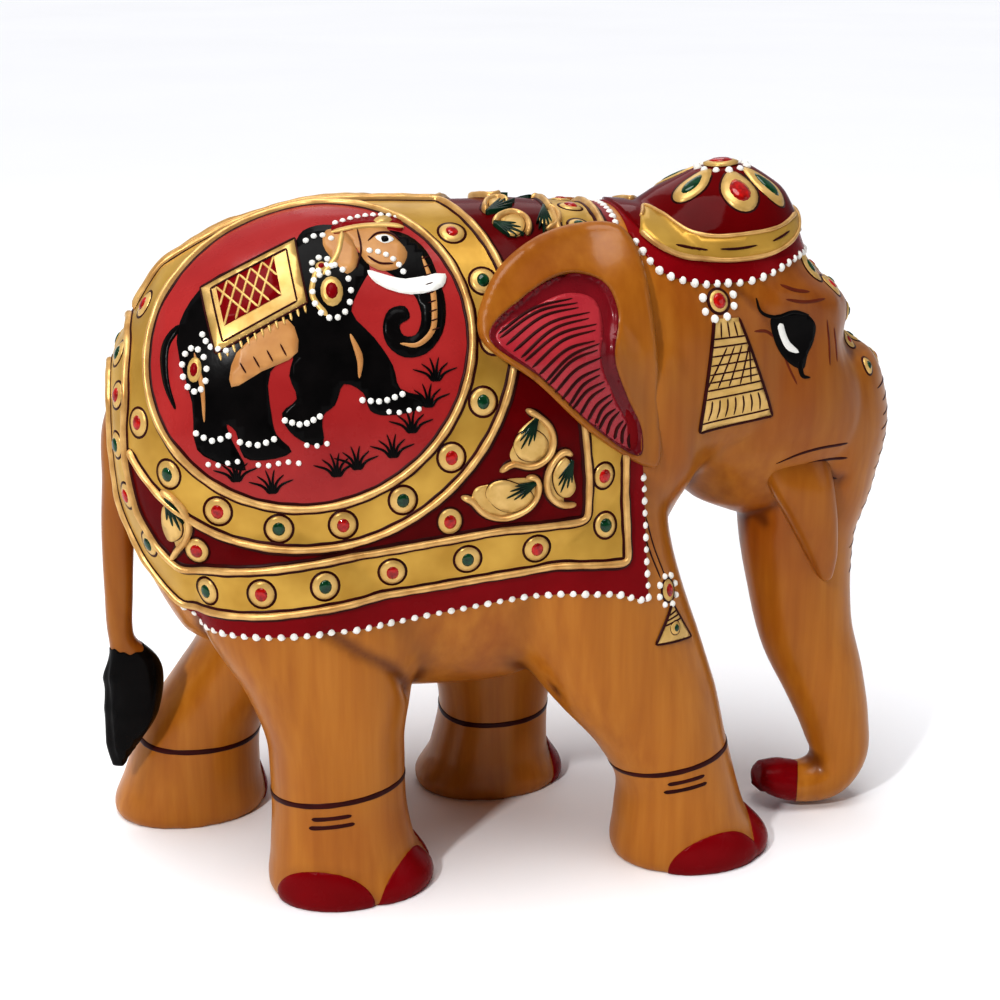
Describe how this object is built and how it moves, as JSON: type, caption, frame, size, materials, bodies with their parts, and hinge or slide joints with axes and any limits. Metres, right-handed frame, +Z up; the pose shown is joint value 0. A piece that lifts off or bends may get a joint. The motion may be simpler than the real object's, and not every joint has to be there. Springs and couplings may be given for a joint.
{
  "type": "painted carved wooden elephant figurine",
  "caption": "Walking elephant carved in varnished wood, with a raised gold and red painted saddle cloth, jewelled cap, glued ears and wedge tusks.",
  "frame": {"origin": "middle of the figure's outline on the ground plane, seen from above", "axes": "+X the way the elephant walks, +Y its left side, +Z up"},
  "size_m": [0.1752, 0.075, 0.1489],
  "materials": {
    "varnished_wood": "satin varnish over straight grain, darker stain in the creases",
    "red_lacquer": "glossy dark red enamel paint",
    "crimson_lacquer": "glossy crimson enamel paint",
    "gold_paste": "hand laid paste relief with gold paint",
    "glass_stone": "small polished glass stones",
    "pearl_paint": "raised dots of white enamel",
    "black_paint": "glossy black enamel paint"
  },
  "bodies": {
    "root": {"carved_body": "varnished_wood", "tail": "varnished_wood", "saddle_cloth": "red_lacquer", "border_ridge_outer": "gold_paste", "border_ridge_inner": "gold_paste", "neck_ridge_front": "gold_paste", "neck_ridge_back": "gold_paste", "ear_right": "varnished_wood", "ear_lining_right": "crimson_lacquer", "tusk_right": "varnished_wood", "oval_panel_right": "crimson_lacquer", "oval_ridge_right": "gold_paste", "ring_ridge_right": "gold_paste", "ring_top_right": "gold_paste", "leaf_right_1": "gold_paste", "leaf_right_2": "gold_paste", "leaf_right_3": "gold_paste", "leaf_right_4": "gold_paste", "cap_band_right": "gold_paste", "pendant_right": "gold_paste", "pendant_stone_right": "glass_stone", "shoulder_tassel_right": "gold_paste", "tassel_stone_right": "glass_stone", "field_stone_front_right": "glass_stone", "field_stone_back_right": "glass_stone", "ear_left": "varnished_wood", "ear_lining_left": "crimson_lacquer", "tusk_left": "varnished_wood", "oval_panel_left": "crimson_lacquer", "oval_ridge_left": "gold_paste", "ring_ridge_left": "gold_paste", "ring_top_left": "gold_paste", "leaf_left_1": "gold_paste", "leaf_left_2": "gold_paste", "leaf_left_3": "gold_paste", "leaf_left_4": "gold_paste", "cap_band_left": "gold_paste", "pendant_left": "gold_paste", "pendant_stone_left": "glass_stone", "shoulder_tassel_left": "gold_paste", "tassel_stone_left": "glass_stone", "field_stone_front_left": "glass_stone", "field_stone_back_left": "glass_stone", "cap": "red_lacquer", "cap_button": "glass_stone", "cap_petal_1": "gold_paste", "cap_petal_2": "gold_paste", "cap_petal_3": "gold_paste", "cap_petal_4": "gold_paste", "cap_petal_5": "gold_paste", "cap_petal_6": "gold_paste", "forehead_plate_1": "gold_paste", "forehead_plate_2": "gold_paste", "forehead_plate_3": "gold_paste", "forehead_plate_4": "gold_paste", "forehead_plate_5": "gold_paste"}
  },
  "joints": []
}
